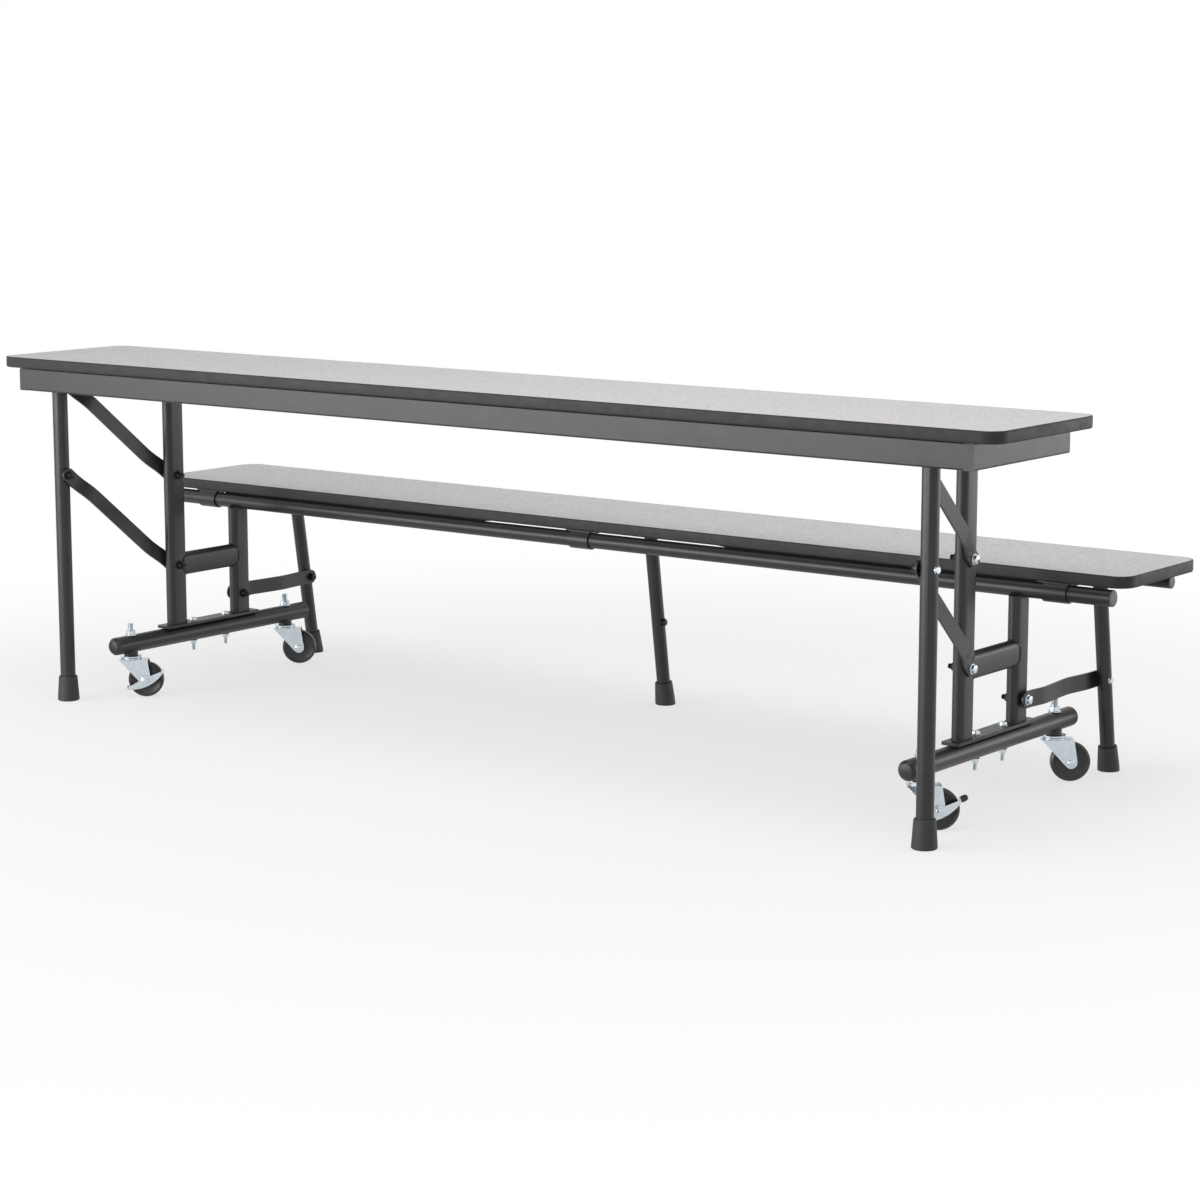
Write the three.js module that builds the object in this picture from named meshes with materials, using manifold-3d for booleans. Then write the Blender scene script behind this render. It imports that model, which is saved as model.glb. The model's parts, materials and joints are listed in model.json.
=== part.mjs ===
// A mobile cafeteria table with one attached bench. Its top tips up on a pair of end frames and
// becomes the backrest of the bench, and the bench folds up for storage. It rolls on four casters.
//
// Frame: millimetres, X along the table, Y from the table side to the bench side, Z up.
// Y is counted from the axis of the tall uprights, and the whole is centred at the end.
import * as THREE from "three";
import { mergeVertices } from "three/addons/utils/BufferGeometryUtils.js";
import Module from "manifold-3d";

const wasm = await Module();
wasm.setup();

// Clearances
const SEAT_GAP = 0.3; // between pieces that are fixed together
const PIN_PLAY = 0.5; // radial play of a pin in its hole
const SIDE_PLAY = 0.8; // between faces that turn past each other
const SAG = 0.32; // most that a flat lies inside the round surface that it stands for

// Boards: laminate on both faces, with a crowned band round the edge
const LENGTH = 2438.4;
const BOARD_THICKNESS = 22.2;
const BOARD_CORNER = 35;
const BAND_THICKNESS = 3;
const BAND_CROWN = { size: 1.2, height: 4, steps: 2 };
const TABLE = { height: 736.6, depth: 355.6, front: -288 };
const BENCH = { height: 431.8, depth: 292, front: 188 };

// Sheet-metal apron under the tabletop
const APRON = { inset: 51.2, setback: 10, rearSetback: 11.6, height: 48, sheet: 2, flange: 15, lip: 6 };
const END_FLANGE = 20;
const REAR_RAIL_INSET = 274.2; // from the end of the top, so that the uprights pass when it folds

// End frames
const FRAME_INSET = 224.7; // from the end of the top to the middle of an end frame
const OVAL = { width: 25.4, depth: 50.8, wall: 2 }; // flat-oval tube of the uprights and rails
const PLUG_LENGTH = 65; // solid top of a tall upright
const SHORT_UPRIGHT_Y = 197;
const SHORT_UPRIGHT_DROP = 12; // its top below the axis of the tube that it carries
const BASE = { radius: 19.05, wall: 2, frontOverhang: 55.5, rearOverhang: 68.5, dome: 9 };
const BASE_PLATE = { width: 38, thickness: 6, frontMargin: 18.1, rearMargin: 20.1, corner: 5 };
const TOP_GAP = 0.7; // between the round top of an upright and the board that rests above it

// Parallel links that carry the front legs
const LINK = { width: 30, thickness: 5, bend: 37 }; // bend: from an eye to where the bar sets off sideways
const LOWER_PIVOT_HEIGHT = 271;
const PIVOT_SPACING = 199; // between the lower and the upper link, up the frame and up the leg
const PIN_RADIUS = 5;

// Front legs
const LEG = { radius: 16, wall: 1.65, outboard: 77.5, gap: 2 }; // gap: behind the lip of the front apron
const FRONT_FOOT = { wall: 3.7, flare: 3.5, height: 54, sole: 8, edge: 2 };

// Rollers on the uprights, and the tracks under the top that run over them
const ROLLER = { radius: 9, width: 20, axle: 4, seat: 13 };
const TRACK = { overrun: 34, sheet: 2, flange: 20 }; // overrun: past the roller at both ends of its travel
const LEG_BRACKET = { width: 32, sheet: 3, play: 4 };

// Bench tubes, collars and saddles
const TUBE_INSET = 32.2; // from the end of the bench to the end of its tubes
const FRONT_TUBE = { radius: 15.875, wall: 1.65, y: SHORT_UPRIGHT_Y };
const REAR_TUBE = { radius: 12.7, wall: 1.65, y: 430 };
const COLLAR = { length: 50, wall: 2.7, plate: 80, depth: 40, thickness: 2.5, neck: 18, offset: 15 };
const SADDLE = { length: 30, wall: 2.7, plate: 60, depth: 36, thickness: 2.5, neck: 14, offset: 0 };
const COLLAR_OUTBOARD = 80.5; // from the middle of an end frame to the end collar and saddle
const MIDDLE_X = -20; // middle collar and middle rear leg
const MIDDLE_SADDLE_OFFSET = 42; // beside the middle rear leg

// Rear legs and the straps that fold them
const REAR_LEG = { radius: 14.3, wall: 1.65, outboard: 43.2, footY: 488, start: 5 };
const REAR_FOOT = { wall: 3.9, flare: 3, height: 50, sole: 8 };
const STRAP = { width: 32, thickness: 4, bend: 85, height: 183 };
const STRAP_SPACER = { radius: 9, length: 6 };

// Swivel casters
const WHEEL = { radius: 38.1, width: 23, tread: 13, bore: 6 };
const WHEEL_FACE = { hub: 13, dish: 3, draft: 1, rim: 7.5, wall: 4.5 };
const CASTER = { trail: 32, heading: 37.2, stem: 6, clearance: 3.5 }; // clearance: over the wheel
const FORK = { sheet: 2.5, side: 2.5, boss: 12, lead: 25, tail: 37, race: 23, raceHeight: 7.5 };
const SOCKET = { radius: 15, drop: 6 }; // bush under a base tube that takes a caster's stem
const CASTER_Y = { front: -141, rear: 344.5 };
const BRAKE = { sheet: 2.5, hub: 10, belly: 14, back: 4, end: 2, tab: 18, rise: 5, clear: 2.5, tilt: 25.7 };

// Places worked out from the sizes above
const FRAME_X = LENGTH / 2 - FRAME_INSET;
const FRAME_FACE = FRAME_X + OVAL.width / 2;
const LEG_X = FRAME_X + LEG.outboard;
const REAR_LEG_X = FRAME_X + REAR_LEG.outboard;
const END_COLLAR_X = FRAME_X + COLLAR_OUTBOARD;
const APRON_FRONT = TABLE.front + APRON.setback;
const APRON_REAR = TABLE.front + TABLE.depth - APRON.rearSetback;
const LEG_Y = APRON_FRONT + APRON.lip + LEG.gap + LEG.radius;
const TABLE_UNDERSIDE = TABLE.height - BOARD_THICKNESS;
const BENCH_UNDERSIDE = BENCH.height - BOARD_THICKNESS;
const CROWN_TOP = 2 * WHEEL.radius + CASTER.clearance + FORK.sheet; // top of a fork's bridge
const CASTER_TOP = CROWN_TOP + FORK.raceHeight;
const BASE_AXIS = CASTER_TOP + SEAT_GAP + SOCKET.drop + BASE.radius;
const PLATE_BOTTOM = BASE_AXIS + BASE.radius + SEAT_GAP;
const UPRIGHT_BOTTOM = PLATE_BOTTOM + BASE_PLATE.thickness + SEAT_GAP;
const TILT_AXIS = TABLE_UNDERSIDE - TOP_GAP - OVAL.depth / 2; // height of the tabletop's pivot
const UPPER_PIVOT_HEIGHT = LOWER_PIVOT_HEIGHT + PIVOT_SPACING;
const LEG_PIVOT_HEIGHT = TILT_AXIS - PIVOT_SPACING; // lower link's bolt on the leg
const LINK_LENGTH = Math.hypot(LEG_Y, LEG_PIVOT_HEIGHT - LOWER_PIVOT_HEIGHT);
// How far the track slides over its roller, from a level top to an upright one
const TRACK_TRAVEL = TILT_AXIS - UPPER_PIVOT_HEIGHT - LINK_LENGTH - LEG_Y;
// The sleeves of the collars touch the seat, which sets the height of both bench tubes.
const BENCH_AXIS = BENCH_UNDERSIDE - SEAT_GAP - COLLAR.wall - PIN_PLAY - FRONT_TUBE.radius;

const FINISHES = {
  laminate: { color: 0xd9d6cf, roughness: 0.45, metalness: 0 },
  band: { color: 0x1c1c1d, roughness: 0.5, metalness: 0 },
  powderCoat: { color: 0x2a2a2c, roughness: 0.45, metalness: 0.2 },
  zinc: { color: 0xb4b8bd, roughness: 0.35, metalness: 1 },
  rubber: { color: 0x161616, roughness: 0.7, metalness: 0 },
  nylon: { color: 0xe6e4dc, roughness: 0.5, metalness: 0 },
};
const SIDES = { left: -1, right: 1 };
const AXIS = {
  x: new THREE.Vector3(1, 0, 0),
  y: new THREE.Vector3(0, 1, 0),
  z: new THREE.Vector3(0, 0, 1),
};
// An outline is drawn in (y, z) for a prism along X, in (x, z) along Y and in (x, y) along Z.
const DRAWING_PLANE = {
  x: new THREE.Matrix4().makeBasis(AXIS.y, AXIS.z, AXIS.x),
  y: new THREE.Matrix4().makeBasis(AXIS.x, AXIS.z, AXIS.y.clone().negate()),
  z: new THREE.Matrix4(),
};

const table = new THREE.Group();

// Solids

function solidOf(geometry) {
  const bare = new THREE.BufferGeometry();
  bare.setAttribute("position", geometry.getAttribute("position"));
  bare.setIndex(geometry.getIndex());
  const merged = mergeVertices(bare);
  return new wasm.Manifold(
    new wasm.Mesh({
      numProp: 3,
      vertProperties: merged.getAttribute("position").array,
      triVerts: new Uint32Array(merged.getIndex().array),
    }),
  );
}

function geometryOf(solid) {
  const { vertProperties, triVerts } = solid.getMesh();
  const geometry = new THREE.BufferGeometry();
  geometry.setAttribute("position", new THREE.BufferAttribute(vertProperties, 3));
  geometry.setIndex(new THREE.BufferAttribute(triVerts, 1));
  return geometry;
}

function joined(...solids) {
  return solids.reduce((whole, piece) => whole.add(piece));
}

function cut(solid, ...tools) {
  return tools.reduce((left, tool) => left.subtract(tool), solid);
}

function prism(axis, outline, from, to, bevel = { bevelEnabled: false }) {
  const shape = new THREE.Shape(outline);
  const geometry = new THREE.ExtrudeGeometry(shape, { depth: to - from, steps: 1, ...bevel });
  geometry.translate(0, 0, axis === "y" ? -to : from);
  return solidOf(geometry.applyMatrix4(DRAWING_PLANE[axis]));
}

function box(x, y, z) {
  const geometry = new THREE.BoxGeometry(x[1] - x[0], y[1] - y[0], z[1] - z[0]);
  return solidOf(geometry.translate((x[0] + x[1]) / 2, (y[0] + y[1]) / 2, (z[0] + z[1]) / 2));
}

function rod(axis, radius, centre, from, to) {
  return prism(axis, circle(centre, radius), from, to);
}

function turned(profile) {
  const points = profile.map(([radius, height]) => new THREE.Vector2(radius, height));
  const geometry = new THREE.LatheGeometry(points, flatsRound(Math.max(...points.map(({ x }) => x))));
  return solidOf(geometry.rotateX(Math.PI / 2));
}

// Outlines

// Number of flats round a full circle, a multiple of four
function flatsRound(radius) {
  const flat = 2 * Math.acos(1 - SAG / radius);
  return 4 * Math.ceil((2 * Math.PI) / flat / 4);
}

function arc([u, v], radius, start, sweep) {
  const share = Math.abs(sweep) / (2 * Math.PI);
  const steps = Math.max(2, Math.round(flatsRound(radius) * share));
  return Array.from({ length: steps + 1 }, (_, step) => {
    const angle = start + (sweep * step) / steps;
    return new THREE.Vector2(u + radius * Math.cos(angle), v + radius * Math.sin(angle));
  });
}

function circle(centre, radius) {
  return arc(centre, radius, 0, 2 * Math.PI).slice(1);
}

// A slot outline: round ends of one radius about two centres.
function slot(first, second, radius) {
  const heading = Math.atan2(second[1] - first[1], second[0] - first[0]);
  return [
    ...arc(second, radius, heading - Math.PI / 2, Math.PI),
    ...arc(first, radius, heading + Math.PI / 2, Math.PI),
  ];
}

function roundedRectangle([left, right], [low, high], radius) {
  const quarter = Math.PI / 2;
  return [
    ...arc([right - radius, high - radius], radius, 0, quarter),
    ...arc([left + radius, high - radius], radius, quarter, quarter),
    ...arc([left + radius, low + radius], radius, 2 * quarter, quarter),
    ...arc([right - radius, low + radius], radius, 3 * quarter, quarter),
  ];
}

// Upright flat-oval tube section, grown or shrunk by an offset all round
function oval([u, v], offset = 0) {
  const reach = (OVAL.depth - OVAL.width) / 2;
  return slot([u, v - reach], [u, v + reach], OVAL.width / 2 + offset);
}

// Meshes

function addPiece(name, solid, finish, parent = table) {
  const mesh = new THREE.Mesh(geometryOf(solid), new THREE.MeshStandardMaterial(FINISHES[finish]));
  mesh.name = name;
  parent.add(mesh);
  return mesh;
}

// The left piece is the mirror image of the right one.
function addPair(name, solid, finish) {
  for (const [side, sign] of Object.entries(SIDES)) {
    addPiece(`${side}_${name}`, solid, finish).scale.x = sign;
  }
}

// Tabletop and bench seat

function addBoard(name, { height, depth, front }) {
  const reach = LENGTH / 2;
  const rear = front + depth;
  const edge = (inset) =>
    roundedRectangle([inset - reach, reach - inset], [front + inset, rear - inset], BOARD_CORNER - inset);
  const [bottom, top] = [height - BOARD_THICKNESS, height];
  const { size, height: crown, steps } = BAND_CROWN;
  const bevel = { bevelEnabled: true, bevelSize: size, bevelThickness: crown, bevelSegments: steps };
  const outside = prism("z", edge(size), bottom + crown, top - crown, bevel);
  const inside = prism("z", edge(BAND_THICKNESS), bottom - crown, top + crown);
  addPiece(`${name}_board`, prism("z", edge(BAND_THICKNESS + SEAT_GAP), bottom, top), "laminate");
  addPiece(`${name}_edge_band`, cut(outside, inside), "band");
}

// Folded sheet-metal aprons, each a web with a flange at the top and a lip at the bottom

function addAprons() {
  const top = TABLE_UNDERSIDE - SEAT_GAP;
  const bottom = top - APRON.height;
  const { sheet, flange, lip } = APRON;
  const reach = LENGTH / 2 - APRON.inset;
  const front = APRON_FRONT;
  const flangeReach = reach - END_FLANGE - SEAT_GAP; // stops short of the end apron's flange
  const frontApron = joined(
    box([-reach, reach], [front, front + sheet], [bottom, top]),
    box([-flangeReach, flangeReach], [front, front + flange], [top - sheet, top]),
    box([-flangeReach, flangeReach], [front, front + lip], [bottom, bottom + sheet]),
  );
  addPiece("front_apron", frontApron, "powderCoat");

  const endLength = [front + sheet + SEAT_GAP, APRON_REAR];
  const inner = reach - END_FLANGE;
  const endApron = joined(
    box([reach - sheet, reach], endLength, [bottom, top]),
    box([inner, reach], endLength, [top - sheet, top]),
    box([inner, reach], endLength, [bottom, bottom + sheet]),
  );
  addPair("end_apron", endApron, "powderCoat");

  const railReach = LENGTH / 2 - REAR_RAIL_INSET;
  const rail = APRON_REAR;
  const rearRail = joined(
    box([-railReach, railReach], [rail - sheet, rail], [bottom, top]),
    box([-railReach, railReach], [rail - flange, rail], [top - sheet, top]),
    box([-railReach, railReach], [rail - flange, rail], [bottom, bottom + sheet]),
  );
  addPiece("rear_rail", rearRail, "powderCoat");
}

// End frames: base tube on two casters, base plate, tall and short uprights and a cross rail

function addBaseTubes() {
  const { radius, wall, dome } = BASE;
  const front = CASTER_Y.front - BASE.frontOverhang;
  const rear = CASTER_Y.rear + BASE.rearOverhang;
  const inner = radius - wall;
  const shoulder = radius * (1 - Math.cos(Math.PI / 4));
  const shell = turned([
    [0, front],
    [radius - shoulder, front + dome * (1 - Math.SQRT1_2)],
    [radius, front + dome],
    [radius, rear - dome],
    [radius - shoulder, rear - dome * (1 - Math.SQRT1_2)],
    [0, rear],
  ]);
  const hollow = turned([
    [0, front + dome],
    [inner, front + dome],
    [inner, rear - dome],
    [0, rear - dome],
  ]);
  const alongY = new THREE.Matrix4()
    .makeTranslation(FRAME_X, 0, BASE_AXIS)
    .multiply(new THREE.Matrix4().makeRotationX(-Math.PI / 2));
  const places = Object.values(CASTER_Y);
  const sockets = places.map((y) =>
    rod("z", SOCKET.radius, [FRAME_X, y], BASE_AXIS - radius - SOCKET.drop, BASE_AXIS),
  );
  const stemHoles = places.map((y) =>
    rod("z", CASTER.stem + PIN_PLAY, [FRAME_X, y], BASE_AXIS - 2 * radius, BASE_AXIS + 2 * radius),
  );
  const [outside, inside] = [shell, hollow].map((solid) => solid.transform(alongY.elements));
  addPair("base_tube", cut(joined(outside, ...sockets), inside, ...stemHoles), "powderCoat");

  const halfWidth = BASE_PLATE.width / 2;
  const outline = roundedRectangle(
    [FRAME_X - halfWidth, FRAME_X + halfWidth],
    [-OVAL.depth / 2 - BASE_PLATE.frontMargin, SHORT_UPRIGHT_Y + OVAL.depth / 2 + BASE_PLATE.rearMargin],
    BASE_PLATE.corner,
  );
  const plate = prism("z", outline, PLATE_BOTTOM, PLATE_BOTTOM + BASE_PLATE.thickness);
  addPair("base_plate", plate, "powderCoat");
}

function addUprights() {
  const halfDepth = OVAL.depth / 2;
  const tallTop = TILT_AXIS + halfDepth;
  const below = UPRIGHT_BOTTOM - OVAL.depth;
  const roundTop = prism("x", slot([0, TILT_AXIS], [0, below], halfDepth), 0, 2 * FRAME_X);
  const tallTube = cut(
    prism("z", oval([FRAME_X, 0]), UPRIGHT_BOTTOM, tallTop).intersect(roundTop),
    prism("z", oval([FRAME_X, 0], -OVAL.wall), below, tallTop - PLUG_LENGTH),
    rod("x", ROLLER.axle + PIN_PLAY, [0, TILT_AXIS], 0, FRAME_X - OVAL.width / 2 + ROLLER.seat),
  );
  const studEnd = FRAME_FACE + SIDE_PLAY + LINK.thickness;
  const studs = [LOWER_PIVOT_HEIGHT, UPPER_PIVOT_HEIGHT].map((height) =>
    rod("x", PIN_RADIUS, [0, height], FRAME_FACE - OVAL.wall, studEnd),
  );
  addPair("tall_upright", joined(tallTube, ...studs), "powderCoat");

  const shortTop = BENCH_AXIS - SHORT_UPRIGHT_DROP;
  const shortTube = cut(
    prism("z", oval([FRAME_X, SHORT_UPRIGHT_Y]), UPRIGHT_BOTTOM, shortTop),
    prism("z", oval([FRAME_X, SHORT_UPRIGHT_Y], -OVAL.wall), below, tallTop),
    rod("x", FRONT_TUBE.radius + SEAT_GAP, [FRONT_TUBE.y, BENCH_AXIS], 0, 2 * FRAME_X),
  );
  const strapPivot = [SHORT_UPRIGHT_Y, STRAP.height];
  const spacerEnd = FRAME_FACE + STRAP_SPACER.length;
  const spacer = rod("x", STRAP_SPACER.radius, strapPivot, FRAME_FACE - OVAL.wall, spacerEnd);
  const strapEnd = spacerEnd + SIDE_PLAY + STRAP.thickness;
  const stud = rod("x", PIN_RADIUS, strapPivot, FRAME_FACE - OVAL.wall, strapEnd);
  addPair("short_upright", joined(shortTube, spacer, stud), "powderCoat");

  const railAxis = [FRAME_X, LOWER_PIVOT_HEIGHT];
  const uprightFaces = [0, SHORT_UPRIGHT_Y].map((y) =>
    prism("z", oval([FRAME_X, y], SEAT_GAP), UPRIGHT_BOTTOM, tallTop),
  );
  const start = halfDepth - OVAL.width / 2; // where the round nose of an upright begins
  const rail = cut(
    prism("y", oval(railAxis), start, SHORT_UPRIGHT_Y - start),
    prism("y", oval(railAxis, -OVAL.wall), start - OVAL.wall, SHORT_UPRIGHT_Y),
    ...uprightFaces,
  );
  addPair("cross_rail", rail, "powderCoat");
}

// Rollers on the uprights, the tracks that they run in, and the brackets at the leg tops

function addTiltGear() {
  const frameInside = FRAME_X - OVAL.width / 2;
  const rollerEnd = frameInside - SIDE_PLAY - PIN_PLAY;
  const pivot = [0, TILT_AXIS];
  const roller = joined(
    rod("x", ROLLER.radius, pivot, rollerEnd - ROLLER.width, rollerEnd),
    rod("x", ROLLER.axle, pivot, rollerEnd - ROLLER.width / 2, frameInside + ROLLER.seat - PIN_PLAY),
  );
  addPair("track_roller", roller, "nylon");

  const { sheet, overrun, flange } = TRACK;
  const top = TABLE_UNDERSIDE - SEAT_GAP;
  const reach = [-TRACK_TRAVEL - overrun, overrun];
  const web = rollerEnd - ROLLER.width - SIDE_PLAY;
  const inside = ROLLER.radius + PIN_PLAY;
  const track = joined(
    box([web - sheet, web], reach, [TILT_AXIS - inside - sheet, top]),
    box([web - flange, web], reach, [top - sheet, top]),
    box([web - sheet, rollerEnd], reach, [TILT_AXIS + inside, TILT_AXIS + inside + sheet]),
    box([web - sheet, rollerEnd], reach, [TILT_AXIS - inside - sheet, TILT_AXIS - inside]),
  );
  addPair("roller_track", track, "powderCoat");

  const { width, sheet: ear, play } = LEG_BRACKET;
  const pinEnds = [LEG_X - LEG.radius - LINK.thickness - SIDE_PLAY, LEG_X + LEG.radius].map(
    (x, end) => x + (end ? 1 : -1) * (SIDE_PLAY + play),
  );
  const earOutline = slot([LEG_Y, TILT_AXIS], [LEG_Y, top - width / 2], width / 2);
  const earHole = rod("x", PIN_RADIUS + PIN_PLAY, [LEG_Y, TILT_AXIS], 0, 2 * LEG_X);
  const earReach = [pinEnds[0] - ear, pinEnds[1] + ear];
  const ears = prism("x", earOutline, ...earReach);
  const plateFront = APRON_FRONT + APRON.flange + SEAT_GAP;
  const plate = box(earReach, [plateFront, LEG_Y + width], [top - ear, top]);
  const between = box(pinEnds, [LEG_Y - width, LEG_Y + width], [0, top - ear]);
  addPair("leg_bracket", cut(joined(ears, plate), between, earHole), "powderCoat");
}

// Flat bars with a round eye at each end, stepped sideways between two planes of X

function addBars(name, bar, first, second, fromX, toX) {
  const { width, thickness, bend } = bar;
  const length = Math.hypot(second[0] - first[0], second[1] - first[1]);
  const step = toX - fromX;
  const half = width / 2;
  const side = [
    [-half, 0],
    [bend, 0],
    [length - bend, step],
    [length + half, step],
  ];
  const inner = side.map(([u, w]) => new THREE.Vector2(u, w));
  const outer = side.map(([u, w]) => new THREE.Vector2(u, w + thickness)).reverse();
  const reach = [Math.min(0, step) - thickness, Math.max(0, step) + 2 * thickness];
  const eyes = [0, length].map((u) => rod("z", PIN_RADIUS + PIN_PLAY, [u, 0], ...reach));
  const outline = prism("z", slot([0, 0], [length, 0], half), ...reach);
  const flat = cut(prism("y", [...inner, ...outer], -half, half).intersect(outline), ...eyes);

  const along = new THREE.Vector3(0, second[0] - first[0], second[1] - first[1]).normalize();
  const across = AXIS.x.clone().cross(along);
  const place = new THREE.Matrix4().makeBasis(along, across, AXIS.x).setPosition(fromX, ...first);
  addPair(name, flat.transform(place.elements), "powderCoat");
}

// Front legs, held upright by the parallel links

function addFrontLegs() {
  const { radius, wall } = LEG;
  const y = LEG_Y;
  const linkX = LEG_X - radius - SIDE_PLAY - LINK.thickness;
  const around = [LEG_X - 2 * radius, LEG_X + 2 * radius];
  const roundTop = prism("x", slot([y, TILT_AXIS], [y, 0], radius), ...around);
  const tube = cut(
    rod("z", radius, [LEG_X, y], FRONT_FOOT.sole + SEAT_GAP, TILT_AXIS + radius).intersect(roundTop),
    rod("z", radius - wall, [LEG_X, y], 0, TILT_AXIS - 2 * radius),
  );
  const pins = [LEG_PIVOT_HEIGHT, TILT_AXIS].map((height) =>
    rod("x", PIN_RADIUS, [y, height], linkX, LEG_X + radius),
  );
  addPair("front_leg", joined(tube, ...pins), "powderCoat");

  const { height, sole, edge } = FRONT_FOOT;
  const socket = radius + SEAT_GAP;
  const top = socket + FRONT_FOOT.wall;
  const bottom = top + FRONT_FOOT.flare;
  const foot = turned([
    [0, 0],
    [bottom - edge, 0],
    [bottom, edge],
    [top, height - edge],
    [top - edge, height],
    [socket, height],
    [socket, sole],
    [0, sole],
  ]);
  addPair("front_foot", foot.translate([LEG_X, y, 0]), "rubber");

  const frameX = FRAME_FACE + SIDE_PLAY;
  addBars("lower_link", LINK, [0, LOWER_PIVOT_HEIGHT], [y, LEG_PIVOT_HEIGHT], frameX, linkX);
  addBars("upper_link", LINK, [0, UPPER_PIVOT_HEIGHT], [y, TILT_AXIS], frameX, linkX);
}

// Bench tubes: the seat hinges on the front one, and the rear one turns under it with the rear legs

function tubeAlongX({ radius, wall, y }) {
  const reach = LENGTH / 2 - TUBE_INSET;
  const centre = [y, BENCH_AXIS];
  return cut(
    rod("x", radius, centre, -reach, reach),
    rod("x", radius - wall, centre, -LENGTH, LENGTH),
  );
}

// A sleeve round a tube, with a neck up to a plate under the seat
function hanger({ length, wall, plate, depth, thickness, neck, offset }, tube, x) {
  const bore = tube.radius + PIN_PLAY;
  const top = BENCH_UNDERSIDE - SEAT_GAP;
  const centre = [tube.y, BENCH_AXIS];
  const sleeveX = [x - length / 2, x + length / 2];
  const plateX = [x - plate / 2, x + plate / 2];
  const plateY = [tube.y + offset - depth / 2, tube.y + offset + depth / 2];
  const whole = joined(
    rod("x", bore + wall, centre, ...sleeveX),
    box(sleeveX, [tube.y - neck / 2, tube.y + neck / 2], [BENCH_AXIS, top]),
    box(plateX, plateY, [top - thickness, top]),
  );
  return cut(whole, rod("x", bore, centre, ...plateX));
}

function addBenchHardware() {
  addPiece("bench_front_tube", tubeAlongX(FRONT_TUBE), "powderCoat");
  const collars = { left: -END_COLLAR_X, middle: MIDDLE_X, right: END_COLLAR_X };
  const saddles = { ...collars, middle: MIDDLE_X + MIDDLE_SADDLE_OFFSET };
  for (const place of Object.keys(collars)) {
    addPiece(`${place}_bench_collar`, hanger(COLLAR, FRONT_TUBE, collars[place]), "powderCoat");
    addPiece(`${place}_tube_saddle`, hanger(SADDLE, REAR_TUBE, saddles[place]), "powderCoat");
  }
}

// Rear legs, leaning back from the rear tube, with the straps that swing them in

function addRearLegs() {
  const { radius, wall, footY, start } = REAR_LEG;
  const rearTube = tubeAlongX(REAR_TUBE);
  const lean = Math.atan2(footY - REAR_TUBE.y, BENCH_AXIS);
  const length = BENCH_AXIS / Math.cos(lean);
  const { height, sole } = REAR_FOOT;
  const socket = radius + SEAT_GAP;
  const top = socket + REAR_FOOT.wall;
  const bottom = top + REAR_FOOT.flare;
  const cope = rod("x", REAR_TUBE.radius + SEAT_GAP, [REAR_TUBE.y, BENCH_AXIS], -LENGTH, LENGTH);
  const floor = box([-LENGTH, LENGTH], [0, LENGTH], [-height, 0]);
  const tube = cut(
    rod("z", radius, [0, 0], sole + SEAT_GAP, length - start),
    rod("z", radius - wall, [0, 0], 0, length - 2 * radius),
  );
  const foot = turned([
    [0, -sole],
    [bottom, -sole],
    [bottom, sole],
    [top, height],
    [socket, height],
    [socket, sole],
    [0, sole],
  ]);
  addPiece("rear_tube", rearTube, "powderCoat");
  const places = { left: -REAR_LEG_X, middle: MIDDLE_X, right: REAR_LEG_X };
  for (const [place, x] of Object.entries(places)) {
    const stand = new THREE.Matrix4().makeRotationX(lean).setPosition(x, footY, 0);
    addPiece(`${place}_rear_leg`, cut(tube.transform(stand.elements), cope), "powderCoat");
    addPiece(`${place}_rear_foot`, cut(foot.transform(stand.elements), floor), "rubber");
  }

  const frameX = FRAME_FACE + STRAP_SPACER.length + SIDE_PLAY;
  const legX = REAR_LEG_X - radius - SIDE_PLAY - STRAP.thickness;
  const onLeg = [footY - STRAP.height * Math.tan(lean), STRAP.height];
  addBars("strap", STRAP, [SHORT_UPRIGHT_Y, STRAP.height], onLeg, frameX, legX);
}

// Casters, drawn with the trail along X, the axle along Y and the swivel on the Z axis

const WHEEL_FLAT = Math.PI / flatsRound(WHEEL.radius); // half the angle of one flat of the tread
const AXLE_HEIGHT = WHEEL.radius * Math.cos(WHEEL_FLAT); // the lowest flat lies on the floor
const AXLE_RADIUS = WHEEL.bore - PIN_PLAY;
const FORK_OUTSIDE = WHEEL.width / 2 + FORK.side + FORK.sheet;

function casterWheel() {
  const { radius, width, tread, bore } = WHEEL;
  const { hub, dish, draft, rim, wall } = WHEEL_FACE;
  const half = width / 2;
  const face = half - dish;
  const oneSide = [
    [bore, half],
    [hub, half],
    [hub + draft, face],
    [radius - rim, face],
    [radius - wall, half - draft],
    [radius, tread / 2],
  ];
  const otherSide = oneSide.map(([r, h]) => [r, -h]);
  const profile = [...otherSide, ...oneSide.reverse(), otherSide[0]];
  const upright = new THREE.Matrix4()
    .makeTranslation(CASTER.trail, 0, AXLE_HEIGHT)
    .multiply(new THREE.Matrix4().makeRotationX(Math.PI / 2))
    .multiply(new THREE.Matrix4().makeRotationZ(WHEEL_FLAT));
  return turned(profile).transform(upright.elements);
}

// Angle at which a line from a point touches a circle, on one side of it
function tangentAngle(point, centre, radius, side) {
  const [du, dv] = [point.x - centre[0], point.y - centre[1]];
  return Math.atan2(dv, du) + side * Math.acos(radius / Math.hypot(du, dv));
}

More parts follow.
